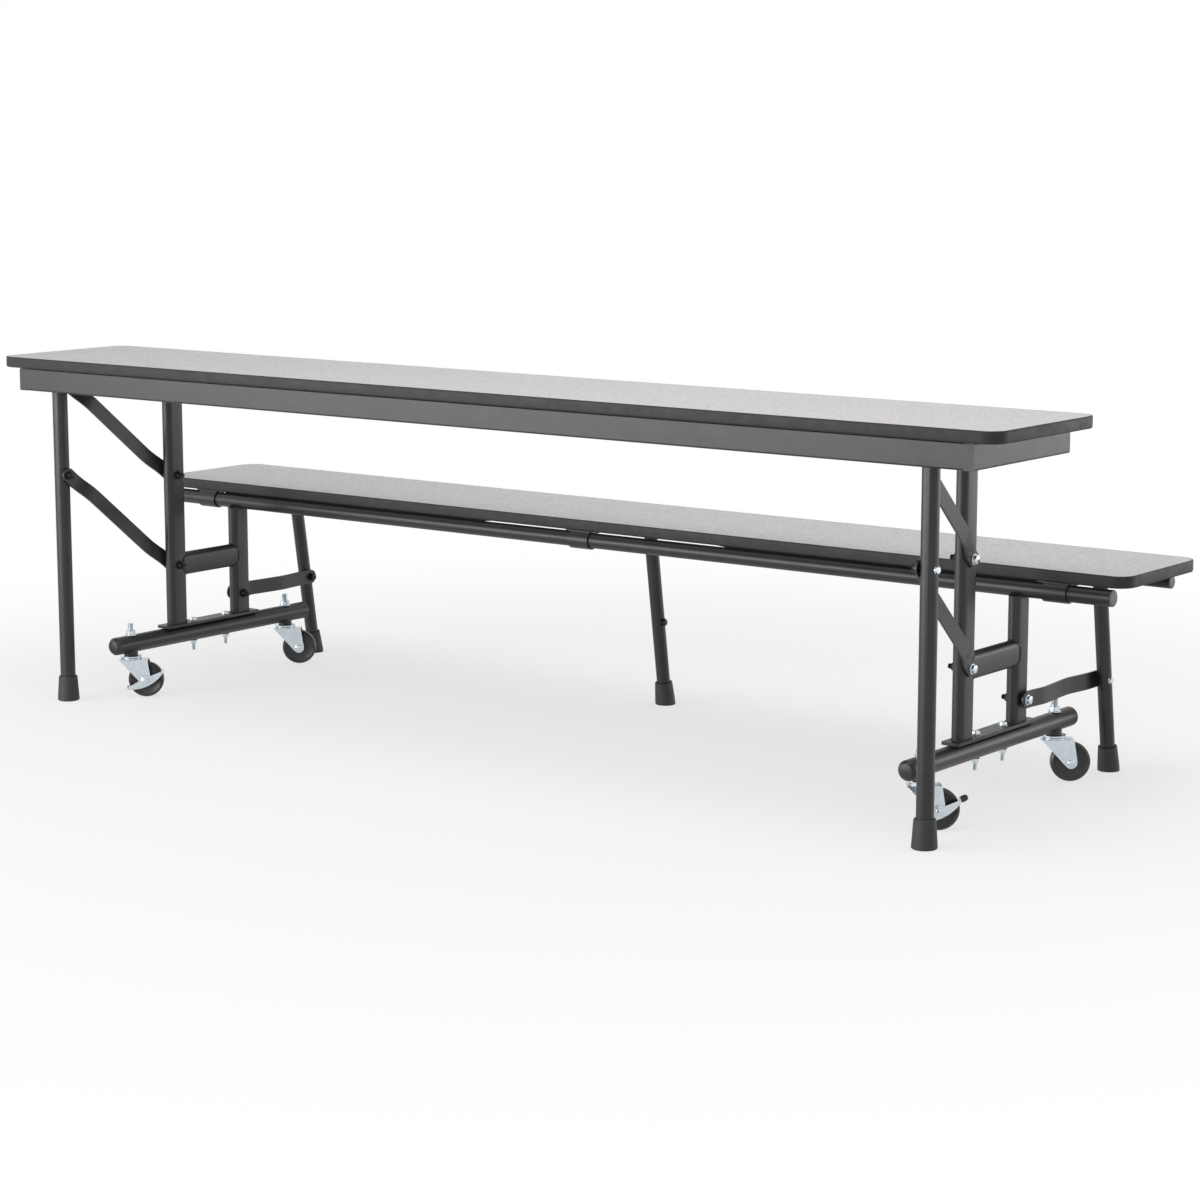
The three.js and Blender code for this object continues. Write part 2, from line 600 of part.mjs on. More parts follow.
function casterFork(brakeRoom) {
  const { sheet, boss, lead, tail, race, raceHeight } = FORK;
  const axle = [CASTER.trail, AXLE_HEIGHT];
  const [front, rear] = [tail, -lead].map((u) => new THREE.Vector2(u, CROWN_TOP));
  const start = tangentAngle(rear, axle, boss, 1);
  const end = tangentAngle(front, axle, boss, -1) + 2 * Math.PI;
  const cheek = [front, rear, ...arc(axle, boss, start, end - start)];
  const inside = FORK_OUTSIDE - sheet;
  const stemTop = BASE_AXIS + BASE.radius + 2 * CASTER.stem;
  const waist = race - sheet;
  const raceway = turned([
    [0, CROWN_TOP - sheet / 2],
    [waist, CROWN_TOP - sheet / 2],
    [race, CROWN_TOP + sheet / 2],
    [race, CROWN_TOP + sheet],
    [waist, CROWN_TOP + raceHeight / 2],
    [race, CASTER_TOP - sheet],
    [race, CASTER_TOP],
    [CASTER.stem, CASTER_TOP],
    [CASTER.stem, stemTop],
    [0, stemTop],
  ]);
  return joined(
    prism("y", cheek, -FORK_OUTSIDE, -inside),
    prism("y", cheek, inside, FORK_OUTSIDE),
    box([-lead, tail], [-FORK_OUTSIDE, FORK_OUTSIDE], [CROWN_TOP - sheet, CROWN_TOP]),
    raceway,
    rod("y", AXLE_RADIUS, axle, -FORK_OUTSIDE - brakeRoom, FORK_OUTSIDE),
  );
}

// Brake: a plate beside the fork, pivoted on the axle. It has a round belly, and its two ends are bent
// across the tread.
function brakeLever() {
  const { sheet, hub, belly, back, end, tab, rise, clear, tilt } = BRAKE;
  const inner = FORK_OUTSIDE + SIDE_PLAY;
  const reach = WHEEL.radius + clear;
  const tip = reach + sheet;
  const depth = belly - end;
  const bellyRadius = (tip * tip + depth * depth) / (2 * depth);
  const bellyAngle = Math.asin(tip / bellyRadius);
  const outline = [
    ...arc([0, bellyRadius - belly], bellyRadius, -Math.PI / 2 - bellyAngle, 2 * bellyAngle),
    new THREE.Vector2(tip, end),
    new THREE.Vector2(hub, back),
    new THREE.Vector2(-hub, back),
    new THREE.Vector2(-tip, end),
  ];
  const across = [-inner - sheet, tab - inner];
  const lever = joined(
    prism("y", outline, -inner - sheet, -inner),
    rod("y", hub, [0, 0], -inner - sheet, -inner),
    box([-tip, -reach], across, [-end, rise]),
    box([reach, tip], across, [-end, rise]),
  );
  const hole = rod("y", AXLE_RADIUS + PIN_PLAY, [0, 0], -LENGTH, LENGTH);
  const tilted = new THREE.Matrix4()
    .makeTranslation(CASTER.trail, 0, AXLE_HEIGHT)
    .multiply(new THREE.Matrix4().makeRotationY(-THREE.MathUtils.degToRad(tilt)));
  return cut(lever, hole).transform(tilted.elements);
}

function addCasters() {
  const heading = THREE.MathUtils.degToRad(CASTER.heading);
  for (const [end, y] of Object.entries(CASTER_Y)) {
    const braked = end === "front";
    for (const [side, sign] of Object.entries(SIDES)) {
      const swivel = new THREE.Group();
      swivel.position.set(sign * FRAME_X, y, 0);
      swivel.rotation.z = heading;
      table.add(swivel);
      const brakeRoom = braked ? SIDE_PLAY + BRAKE.sheet : 0;
      addPiece(`${end}_${side}_caster_fork`, casterFork(brakeRoom), "zinc", swivel);
      addPiece(`${end}_${side}_caster_wheel`, casterWheel(), "rubber", swivel);
      if (braked) addPiece(`${end}_${side}_brake_lever`, brakeLever(), "zinc", swivel);
    }
  }
}

addBoard("tabletop", TABLE);
addAprons();
addTiltGear();
addBaseTubes();
addUprights();
addFrontLegs();
addBoard("bench", BENCH);
addBenchHardware();
addRearLegs();
addCasters();

// The origin is under the middle of the whole, on the floor.
const bounds = new THREE.Box3().setFromObject(table);
table.position.y = -(bounds.min.y + bounds.max.y) / 2;

export default table;
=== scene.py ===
# %% [markdown]
# # A cafeteria table that turns into a bench
# The unit is a long laminate top and one bench on two rolling end frames. The top tips up and becomes
# the backrest. The construction is loaded as a fixed frame. This lesson gives it its finishes, adds the
# bolts, nuts, plugs and welds that hold it together, and lights it like a catalogue picture.

# %% Load the frame
import json
import math

import bmesh
import bpy
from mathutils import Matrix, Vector


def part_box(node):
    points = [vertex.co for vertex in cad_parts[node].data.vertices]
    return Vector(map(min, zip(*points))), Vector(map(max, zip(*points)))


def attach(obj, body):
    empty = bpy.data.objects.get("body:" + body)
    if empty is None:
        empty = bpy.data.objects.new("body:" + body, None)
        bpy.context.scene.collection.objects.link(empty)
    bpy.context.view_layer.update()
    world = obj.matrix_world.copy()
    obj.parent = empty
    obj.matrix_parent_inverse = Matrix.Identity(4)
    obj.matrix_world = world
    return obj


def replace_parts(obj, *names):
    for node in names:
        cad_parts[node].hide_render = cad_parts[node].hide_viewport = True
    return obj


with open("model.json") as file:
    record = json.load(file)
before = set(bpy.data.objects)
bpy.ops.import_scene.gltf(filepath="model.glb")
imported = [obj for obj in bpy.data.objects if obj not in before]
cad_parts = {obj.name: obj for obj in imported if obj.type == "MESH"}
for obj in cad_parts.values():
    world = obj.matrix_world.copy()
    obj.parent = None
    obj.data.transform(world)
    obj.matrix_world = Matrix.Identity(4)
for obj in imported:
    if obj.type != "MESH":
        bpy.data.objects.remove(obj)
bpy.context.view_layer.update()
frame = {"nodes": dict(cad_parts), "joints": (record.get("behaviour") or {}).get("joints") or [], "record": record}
nodes = frame["nodes"]
pivot = {joint["name"]: Vector(joint["pos_m"]) for joint in frame["joints"] if "pos_m" in joint}
MM = 0.001
SIDES = {"left": -1, "right": 1}

# %% [markdown]
# ## Camera
# The photograph was taken with a long lens from the front right, a little above the tabletop. A camera
# needs three things here: where it stands, which way it looks, and its focal length. Fitting the straight
# edges of the top and the bench to the picture gave all three.

# %% Camera
CAMERA_PLACE = Vector((3.6736, -4.7199, 1.2845))
CAMERA_AIM = Vector((-0.5963, 0.7854, -0.1659))
FOCAL_LENGTH, SENSOR_WIDTH = 89.85, 36  # mm

camera = bpy.data.objects.new("camera", bpy.data.cameras.new("camera"))
camera.data.lens = FOCAL_LENGTH
camera.data.sensor_width = SENSOR_WIDTH
camera.location = CAMERA_PLACE
camera.rotation_euler = CAMERA_AIM.to_track_quat("-Z", "Y").to_euler()
bpy.context.scene.collection.objects.link(camera)
bpy.context.scene.camera = camera
print("camera", FOCAL_LENGTH, "mm, at", tuple(round(v, 2) for v in CAMERA_PLACE))

# %% [markdown]
# ## Helpers for materials
# Colours are written as sRGB hex values, as a colour picker shows them, and Blender's shaders want linear
# light, so one function converts them. Another adds a node with its settings and its links. Pattern
# sizes are in millimetres: a noise of scale 1000 / size has features of about that size, because object
# coordinates are in metres.

# %% Material helpers
BUMP_DETAIL = 3.0


def linear(hex_code):
    channels = [int(hex_code[i : i + 2], 16) / 255 for i in (1, 3, 5)]
    light = [c / 12.92 if c <= 0.04045 else ((c + 0.055) / 1.055) ** 2.4 for c in channels]
    return (*light, 1.0)


def add_node(tree, kind, settings=None, inputs=None):
    node = tree.nodes.new(kind)
    for name, value in (settings or {}).items():
        setattr(node, name, value)
    for name, value in (inputs or {}).items():
        if isinstance(value, bpy.types.NodeSocket):
            tree.links.new(value, node.inputs[name])
        else:
            node.inputs[name].default_value = value
    return node


def per_metre(size_mm):
    return 1000 / size_mm


def new_material(name, **shader_values):
    material = bpy.data.materials.new(name)
    material.use_nodes = True
    tree = material.node_tree
    shader = tree.nodes["Principled BSDF"]
    for socket, value in shader_values.items():
        shader.inputs[socket.replace("_", " ")].default_value = value
    place = add_node(tree, "ShaderNodeTexCoord").outputs["Object"]
    return material, tree, shader, place


def mottle(tree, place, size_mm, detail, stops):
    """Noise of one size, turned into colours or greys by a ramp of (position, colour) stops."""
    inputs = {"Vector": place, "Scale": per_metre(size_mm), "Detail": detail}
    noise = add_node(tree, "ShaderNodeTexNoise", None, inputs)
    ramp = add_node(tree, "ShaderNodeValToRGB", None, {"Fac": noise.outputs["Fac"]})
    while len(ramp.color_ramp.elements) < len(stops):
        ramp.color_ramp.elements.new(0.5)
    for element, (position, colour) in zip(ramp.color_ramp.elements, stops):
        element.position = position
        element.color = colour
    return ramp.outputs["Color"]


def grey(value):
    return (value, value, value, 1.0)


def roughen(tree, shader, place, size_mm, height_mm, strength):
    """Fine bumps of one size and height on the shader's normal."""
    inputs = {"Vector": place, "Scale": per_metre(size_mm), "Detail": BUMP_DETAIL}
    noise = add_node(tree, "ShaderNodeTexNoise", None, inputs)
    inputs = {"Height": noise.outputs["Fac"], "Distance": height_mm * MM, "Strength": strength}
    bump = add_node(tree, "ShaderNodeBump", None, inputs)
    tree.links.new(bump.outputs["Normal"], shader.inputs["Normal"])


print("white is", linear("#FFFFFF"), "and a 10 mm pattern has scale", per_metre(10))

# %% [markdown]
# ## High-pressure laminate
# The top and the seat are particle board with a hard laminate pressed on. The laminate is a printed
# paper under melamine: a warm light grey with fine darker and lighter flecks, and a satin face with a
# pebbled texture from the press plate. The real flecks are under a millimetre, too fine to show from
# across a room, so a second, coarser mottle stands in for the way that they clump. The underside has a
# plain brown backer sheet, which keeps the board flat. One material serves both, because the direction
# that a face of the board looks in tells them apart, and that direction turns with the board.

# %% Laminate
FLECK_SHARE = 0.55
UNDERSIDE = -0.5  # faces whose own normal points further down than this carry the backer
SHARE, FIRST, SECOND, MIXED = 0, 6, 7, 2  # sockets of a colour mix, which have no names of their own


def make_laminate():
    material, tree, shader, place = new_material("high_pressure_laminate", IOR=1.5)
    clumps = mottle(tree, place, 7, 4.0, [(0.35, linear("#C6C3C1")), (0.62, linear("#DAD8D6"))])
    flecks = mottle(tree, place, 1.6, 2.0, [(0.36, linear("#A9A6A3")), (0.44, linear("#FFFFFF"))])
    multiply = {"data_type": "RGBA", "blend_type": "MULTIPLY"}
    face = add_node(tree, "ShaderNodeMix", multiply, {SHARE: FLECK_SHARE, FIRST: clumps, SECOND: flecks})
    backer = mottle(tree, place, 25, 5.0, [(0.3, linear("#6F655B")), (0.7, linear("#7E7469"))])
    normal = add_node(tree, "ShaderNodeSeparateXYZ", None, {"Vector": place.node.outputs["Normal"]})
    heights = {0: normal.outputs["Z"], 1: UNDERSIDE}
    looks_down = add_node(tree, "ShaderNodeMath", {"operation": "LESS_THAN"}, heights)
    sides = {SHARE: looks_down.outputs[0], FIRST: face.outputs[MIXED], SECOND: backer}
    colour = add_node(tree, "ShaderNodeMix", {"data_type": "RGBA"}, sides)
    tree.links.new(colour.outputs[MIXED], shader.inputs["Base Color"])
    sheen = mottle(tree, place, 40, 2.0, [(0.3, grey(0.50)), (0.7, grey(0.60))])
    tree.links.new(sheen, shader.inputs["Roughness"])
    roughen(tree, shader, place, 1.4, 0.05, 0.5)
    return material


LAMINATE = make_laminate()
print("made", LAMINATE.name)

# %% [markdown]
# ## Powder coat
# The frame is steel tube and sheet with a baked charcoal powder coat. Powder melts into a skin with a
# faint orange peel. Its colour is nearly black, and most of what the eye sees is its soft gloss: a side
# of a tube that faces a softbox goes grey, and the side that faces the camera stays dark.

# %% Powder coat
def make_powder_coat():
    material, tree, shader, place = new_material("charcoal_powder_coat", IOR=1.45)
    tone = mottle(tree, place, 60, 3.0, [(0.3, linear("#232223")), (0.7, linear("#292829"))])
    tree.links.new(tone, shader.inputs["Base Color"])
    sheen = mottle(tree, place, 12, 3.0, [(0.3, grey(0.37)), (0.7, grey(0.41))])
    tree.links.new(sheen, shader.inputs["Roughness"])
    roughen(tree, shader, place, 2.5, 0.06, 0.35)
    return material


POWDER_COAT = make_powder_coat()
print("made", POWDER_COAT.name)

# %% [markdown]
# ## Vinyl edge, rubber feet, wheels and plugs
# The black pieces differ in how they were made. The edge band is extruded vinyl, satin and slightly
# pebbled. The feet are moulded rubber, matt and a little dusty. The wheels are hard moulded rubber with a
# smoother skin, so they show a clearer highlight. The plugs in the tube ends are a dark grey plastic. One
# function makes all four, because only their tone, gloss and bumps differ.

# %% Black plastics
def make_black(name, dark, light, size_mm, roughness, bump_mm, ior=1.52):
    material, tree, shader, place = new_material(name, IOR=ior)
    tone = mottle(tree, place, size_mm, 3.0, [(0.3, linear(dark)), (0.7, linear(light))])
    tree.links.new(tone, shader.inputs["Base Color"])
    gloss = [(0.3, grey(roughness - 0.05)), (0.7, grey(roughness + 0.05))]
    tree.links.new(mottle(tree, place, size_mm / 2, 2.0, gloss), shader.inputs["Roughness"])
    roughen(tree, shader, place, 1.8, bump_mm, 0.5)
    return material


VINYL = make_black("extruded_vinyl_band", "#1F1E1F", "#252425", 40, 0.55, 0.05, 1.4)
FOOT_RUBBER = make_black("moulded_foot_rubber", "#222121", "#2B2A29", 18, 0.62, 0.08)
WHEEL_RUBBER = make_black("hard_wheel_rubber", "#1B1A1A", "#232222", 14, 0.40, 0.04)
PLUG_PLASTIC = make_black("tube_plug_plastic", "#4E4D4D", "#585757", 12, 0.45, 0.03)
print("made", VINYL.name, FOOT_RUBBER.name, WHEEL_RUBBER.name, PLUG_PLASTIC.name)

# %% [markdown]
# ## Zinc plate, black oxide and nylon
# The forks, bolts and nuts are bright zinc plate: a true metal, slightly blue from its passivation, with
# cloudy patches of sharper and softer gloss. The pivot nuts on the inside are black oxide. The rollers
# hidden under the top are white nylon.

# %% Plated metal and nylon
def make_metal(name, dark, light, roughness, metallic):
    material, tree, shader, place = new_material(name, Metallic=metallic)
    tone = mottle(tree, place, 12, 3.0, [(0.3, linear(dark)), (0.7, linear(light))])
    tree.links.new(tone, shader.inputs["Base Color"])
    gloss = [(0.3, grey(roughness - 0.03)), (0.7, grey(roughness + 0.03))]
    tree.links.new(mottle(tree, place, 6, 2.0, gloss), shader.inputs["Roughness"])
    roughen(tree, shader, place, 0.9, 0.01, 0.15)
    return material


ZINC = make_metal("blue_zinc_plate", "#C6D0D6", "#D3DBE0", 0.25, 1.0)
BLACK_OXIDE = make_metal("black_oxide_steel", "#191919", "#232324", 0.42, 0.6)


def make_nylon():
    material, tree, shader, place = new_material("white_nylon", IOR=1.53, Roughness=0.45)
    tone = mottle(tree, place, 10, 2.0, [(0.3, linear("#DDDBD3")), (0.7, linear("#E8E6DF"))])
    tree.links.new(tone, shader.inputs["Base Color"])
    roughen(tree, shader, place, 1.2, 0.02, 0.4)
    return material


NYLON = make_nylon()
print("made", ZINC.name, BLACK_OXIDE.name, NYLON.name)

# %% [markdown]
# ## Finish the construction pieces
# Each construction piece keeps its shape and gets the finish of its material slot. Its faces were split
# along every edge on the way in, so a weld joins them again. A small bevel then rounds the sharp edges,
# as pressing, sawing and coating do on the real thing, and smooth shading hides the flats of the tubes.

# %% Finishes and edges of the construction
FINISH = {
    "laminate": LAMINATE,
    "edge_band": VINYL,
    "powder_coat": POWDER_COAT,
    "zinc_plate": ZINC,
    "foot_rubber": FOOT_RUBBER,
    "wheel_rubber": WHEEL_RUBBER,
    "roller_nylon": NYLON,
}
EDGE_ROUND = {"laminate": 0.2, "edge_band": 0.6, "foot_rubber": 1.2, "wheel_rubber": 1.0}  # mm
USUAL_EDGE_ROUND = 0.5
SHARP_ANGLE = math.radians(35)
WELD_REACH = 0.01 * MM


def smooth_edges(piece, width_mm):
    weld = piece.modifiers.new("weld", "WELD")
    weld.merge_threshold = WELD_REACH
    bevel = piece.modifiers.new("edge_round", "BEVEL")
    bevel.width = width_mm * MM
    bevel.segments = 2
    bevel.limit_method = "ANGLE"
    bevel.angle_limit = SHARP_ANGLE
    bevel.harden_normals = True
    bevel.use_clamp_overlap = True


def finish_node(name, slot):
    piece = nodes[name]
    piece.data.materials.clear()
    piece.data.materials.append(FINISH[slot])
    with bpy.context.temp_override(object=piece, active_object=piece):
        bpy.ops.mesh.customdata_custom_splitnormals_clear()
    piece.data.shade_smooth()
    smooth_edges(piece, EDGE_ROUND.get(slot, USUAL_EDGE_ROUND))


for part in frame["record"]["subparts"]:
    finish_node(part["node"], part["material_slot"])

# %% [markdown]
# ## Bolts, nuts, screws and plugs
# All the small hardware is made of rings stacked along an axis: a ring is round, or it is a hexagon with
# its corners a little further out, or it is the flattened oval of a pedal. A hexagon under a smaller
# round ring gives the chamfer of a bolt head, and many thin rings give a thread. One function adds a
# stack to a mesh, and another turns a mesh into a piece with its finish, riding on its body.

# %% Ring stacks
RING_POINTS = 24
PEDAL_FLATNESS = 0.36  # height of the oval over its width
PEDAL_SQUARENESS = 4  # 2 is an ellipse, and more is squarer


def ring_radius(radius_mm, shape, angle):
    if shape == "hex":
        sixth = math.pi / 3
        return radius_mm / math.cos(angle % sixth - sixth / 2)  # radius to the middle of a flat
    if shape == "pedal":
        across, up = abs(math.cos(angle)), abs(math.sin(angle)) / PEDAL_FLATNESS
        return radius_mm / (across**PEDAL_SQUARENESS + up**PEDAL_SQUARENESS) ** (1 / PEDAL_SQUARENESS)
    return radius_mm


def stack_rings(mesh, rings, place, axis):
    """Add a closed stack of (height, radius, shape) rings in mm, standing on place along axis."""
    turn = Vector(axis).to_track_quat("Z", "Y")
    layers = []
    for height, radius, shape in rings:
        layer = []
        for step in range(RING_POINTS):
            angle = 2 * math.pi * (step + 0.5) / RING_POINTS
            reach = ring_radius(radius, shape, angle)
            point = Vector((reach * math.cos(angle), reach * math.sin(angle), height)) * MM
            layer.append(mesh.verts.new(place + turn @ point))
        layers.append(layer)
    join_layers(mesh, layers)
    mesh.faces.new(list(reversed(layers[0])))
    mesh.faces.new(layers[-1])


def join_layers(mesh, layers):
    for low, high in zip(layers, layers[1:]):
        for step in range(len(low)):
            after = (step + 1) % len(low)
            mesh.faces.new((low[step], low[after], high[after], high[step]))


def add_piece(name, mesh, material, body):
    data = bpy.data.meshes.new(name)
    mesh.to_mesh(data)
    mesh.free()
    data.materials.append(material)
    data.shade_smooth()
    data.set_sharp_from_angle(angle=SHARP_ANGLE)
    piece = bpy.data.objects.new(name, data)
    bpy.context.scene.collection.objects.link(piece)
    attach(piece, body)
    return piece


def ring_stack(name, rings, place, axis, material, body):
    mesh = bmesh.new()
    stack_rings(mesh, rings, place, axis)
    return add_piece(name, mesh, material, body)


print("rings of", RING_POINTS, "points")

# %% Heads, nuts and threads
WASHER_ROUND, CHAMFER = 0.6, 1.2  # mm, at the rim of a washer and at the top of a hexagon


def hex_rings(flats_mm, height_mm, washer_mm, washer_height_mm):
    half, washer = flats_mm / 2, washer_mm / 2
    base, top = washer_height_mm, washer_height_mm + height_mm
    return [
        (0, washer, "round"),
        (base * 0.7, washer, "round"),
        (base, washer - WASHER_ROUND, "round"),
        (base, half, "hex"),
        (top - CHAMFER, half, "hex"),
        (top - CHAMFER / 4, half * 0.97, "round"),
        (top, half * 0.9, "round"),
    ]


def thread_rings(radius_mm, start_mm, end_mm, pitch_mm):
    turns = round((end_mm - start_mm) / pitch_mm)
    rings = []
    for turn in range(turns):
        low = start_mm + turn * pitch_mm
        rings += [(low, radius_mm * 0.86, "round"), (low + pitch_mm / 2, radius_mm, "round")]
    return rings + [(end_mm, radius_mm * 0.8, "round")]


PIVOT_HEAD = hex_rings(15, 6, 20, 1.6)
LEG_HEAD = hex_rings(12, 4, 16, 1.2)
PIVOT_NUT = hex_rings(15, 8, 20, 1.8)
THREADED_NUT = PIVOT_NUT + thread_rings(4.8, 9.8, 17.3, 1.5)
PLATE_HEAD = hex_rings(13, 5, 19, 1.6)
PLATE_NUT = hex_rings(13, 6, 17, 1.5) + thread_rings(4, 7.5, 22, 1.5)
STEM_NUT = hex_rings(19, 9, 25, 2) + thread_rings(6.3, 11, 26, 2)
AXLE_HEAD = hex_rings(13, 4.5, 17, 1.2)
SCREW = [(0, 4.6, "round"), (1.0, 4.6, "round"), (2.0, 3.8, "round"), (2.5, 2.4, "round"), (1.3, 1.9, "hex")]
print("a pivot bolt's head has", len(PIVOT_HEAD), "rings, a stem nut with its thread", len(STEM_NUT))

# %% [markdown]
# ## Pivot bolts
# Every hinge of the linkage is a bolt. Outside, where people see it, the head is bright zinc, and the nut
# on the inner side is black. On the end frames the thread comes out past the nut. On the legs it doesn't,
# because the links fold close by. A bolt rides on the piece that carries its pin, so it stays with the
# frame or with the leg when the links swing. The places come from the joints and the pieces' own faces.

# %% Pivot bolts
CARRIERS = ("cross_rail", "tall_upright", "short_upright", "front_leg", "leg_bracket", "rear_leg", "strap")
right_box = {name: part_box(f"right_{name}") for name in CARRIERS}
STRAP_HALF_WIDTH = 16 * MM
STRAP_THICKNESS = 4 * MM
LEG_HEAD_SINK = 2 * MM  # the round tube falls away beside its bolt

outside = {name: box[1].x for name, box in right_box.items()}
inside = {name: box[0].x for name, box in right_box.items()}
frame_inside = inside["cross_rail"]
leg_low, strap_frame = pivot["front_leg_swing"], pivot["strap_swing"]
leg_top = Vector((0, leg_low.y, pivot["tabletop_tilt"].z))
strap_leg = Vector((0, right_box["strap"][1].y - STRAP_HALF_WIDTH, strap_frame.z))

# the rings, the X and the body of a head or a nut
LINK_HEAD = (PIVOT_HEAD, outside["tall_upright"], "base_frame")
FRAME_NUT = (THREADED_NUT, frame_inside, "base_frame")
PIVOT_BOLTS = {
    "lower_link": (pivot["lower_link_swing"], LINK_HEAD, FRAME_NUT),
    "upper_link": (pivot["upper_link_swing"], LINK_HEAD, FRAME_NUT),
    "leg_link": (leg_low, (LEG_HEAD, outside["front_leg"] - LEG_HEAD_SINK, "front_legs"),
                 (PIVOT_NUT, inside["front_leg"], "front_legs")),
    "leg_top": (leg_top, (PIVOT_HEAD, outside["leg_bracket"], "tabletop"),
                (PIVOT_NUT, inside["leg_bracket"], "tabletop")),
    "strap_frame": (strap_frame, (PIVOT_HEAD, outside["short_upright"], "base_frame"), FRAME_NUT),
    "strap_leg": (strap_leg, (LEG_HEAD, outside["rear_leg"] - LEG_HEAD_SINK, "rear_legs"),
                  (PIVOT_NUT, outside["strap"] - STRAP_THICKNESS, "straps")),
}

for side, sign in SIDES.items():
    for name, (place, head, nut) in PIVOT_BOLTS.items():
        ends = {"bolt": (sign, ZINC, head), "nut": (-sign, BLACK_OXIDE, nut)}
        for end, (way, metal, (rings, x, body)) in ends.items():
            on_axis = Vector((sign * x, place.y, place.z))
            ring_stack(f"{side}_{name}_{end}", rings, on_axis, (way, 0, 0), metal, body)
print("pivot bolts", len(SIDES) * len(PIVOT_BOLTS))

# %% [markdown]
# ## Base bolts, caster nuts and axle nuts
# Each end frame stands on a plate that two bolts hold down through the base tube: their heads show on
# the plate, and a nut with a threaded end shows under the tube. Each caster's stem comes up through the
# tube under a big nut. The axle of each wheel has a small nut on both sides of its fork.

# %% Base bolts and caster nuts
PLATE_BOLT_SHARES = (0.325, 0.675)  # along the base plate
FORK_HALF_WIDTH = 16.5 * MM
BRAKE_ROOM = 3.5 * MM

for side in SIDES:
    plate_low, plate_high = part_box(f"{side}_base_plate")
    tube_low, tube_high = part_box(f"{side}_base_tube")
    middle_x = (plate_low.x + plate_high.x) / 2
    for index, share in enumerate(PLATE_BOLT_SHARES):
        y = plate_low.y + share * (plate_high.y - plate_low.y)
        top = Vector((middle_x, y, plate_high.z))
        under = Vector((middle_x, y, tube_high.z - (tube_high.x - tube_low.x)))
        ring_stack(f"{side}_plate_bolt_{index}", PLATE_HEAD, top, (0, 0, 1), ZINC, "base_frame")
        ring_stack(f"{side}_plate_nut_{index}", PLATE_NUT, under, (0, 0, -1), ZINC, "base_frame")
    for end in ("front", "rear"):
        stem = pivot[f"{end}_{side}_swivel"]
        on_tube = Vector((stem.x, stem.y, tube_high.z))
        ring_stack(f"{end}_{side}_stem_nut", STEM_NUT, on_tube, (0, 0, 1), ZINC, "base_frame")
        spin = next(j for j in frame["joints"] if j["name"] == f"{end}_{side}_wheel_spin")
        axle, place = Vector(spin["axis"]), Vector(spin["pos_m"])
        reach = {1: FORK_HALF_WIDTH, -1: FORK_HALF_WIDTH + (BRAKE_ROOM if end == "front" else 0)}
        for way, distance in reach.items():
            label = "nut" if way > 0 else "head"
            ring_stack(f"{end}_{side}_axle_{label}", AXLE_HEAD, place + way * distance * axle, way * axle,
                       ZINC, f"{end}_{side}_caster")
print("base bolts and caster nuts placed")

# %% [markdown]
# ## Tube plugs
# The open ends of the two bench tubes are closed by grey plastic plugs with a low rounded head. The
# middle rear leg has the same bolt hole as the outer ones, with a short bolt in it and no strap.

# %% Tube plugs and the spare bolt
PLUG_NECK_INSET, PLUG_RIM_INSET = 1.9, 0.4  # mm in from the tube's outside
PLUG_DEPTH, PLUG_GAP = 8, 0.2  # mm inside the tube, and under the rim


def plug_rings(tube_radius_mm):
    neck, rim = tube_radius_mm - PLUG_NECK_INSET, tube_radius_mm - PLUG_RIM_INSET
    return [(-PLUG_DEPTH, neck, "round"), (PLUG_GAP, neck, "round"), (PLUG_GAP, rim, "round"),
            (1.2, rim, "round"), (1.9, rim - 1.2, "round"), (2.1, rim - 3, "round")]


BENCH_TUBES = {"bench_front_tube": ("bench_fold", "base_frame"), "rear_tube": ("rear_leg_fold", "rear_legs")}
for tube, (joint, body) in BENCH_TUBES.items():
    low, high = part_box(tube)
    radius_mm = (high.z - low.z) / 2 / MM
    for side, sign in SIDES.items():
        place = Vector((sign * high.x, pivot[joint].y, pivot[joint].z))
        ring_stack(f"{side}_{tube}_plug", plug_rings(radius_mm), place, (sign, 0, 0), PLUG_PLASTIC, body)

spare_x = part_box("middle_rear_leg")[1].x
foot_low, foot_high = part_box("middle_rear_foot")
foot_middle = (foot_low.y + foot_high.y) / 2
lean = (foot_middle - pivot["rear_leg_fold"].y) / pivot["rear_leg_fold"].z
spare = Vector((spare_x, foot_middle - lean * strap_frame.z, strap_frame.z))
ring_stack("middle_leg_spare_bolt", PLATE_HEAD, spare, (1, 0, 0), BLACK_OXIDE, "rear_legs")
print("plugs and spare bolt placed")

# %% [markdown]
# ## Brake pedal cap
# The front right brake lever has a black rubber cap pushed over its raised end, where a shoe presses it.
# It is a stack of pedal-shaped rings along the lever that swell and close again, like a flattened olive.

# %% Brake pedal cap
BRAKE_TILT = math.radians(25.7)
CAP_START = 39.4 * MM  # from the axle, just clear of the tread
CAP_MIDDLE = -9.6 * MM  # along the axle, over the bent tab
CAP = [(0, 4.5, "pedal"), (0.9, 7.6, "pedal"), (3.0, 10.2, "pedal"), (6.0, 11.7, "pedal"),
       (8.7, 12.0, "pedal"), (11.4, 11.7, "pedal"), (14.2, 10.2, "pedal"), (16.1, 7.6, "pedal"),
       (17.0, 4.5, "pedal")]

pedal = next(j for j in frame["joints"] if j["name"] == "front_right_brake_pedal")
axle = Vector(pedal["axis"])
lever = Vector((axle.y, -axle.x, 0)) * math.cos(BRAKE_TILT) + Vector((0, 0, math.sin(BRAKE_TILT)))
cap_place = Vector(pedal["pos_m"]) + CAP_START * lever + CAP_MIDDLE * axle
ring_stack("front_right_brake_cap", CAP, cap_place, lever, FOOT_RUBBER, "front_right_brake")
print("brake cap placed")

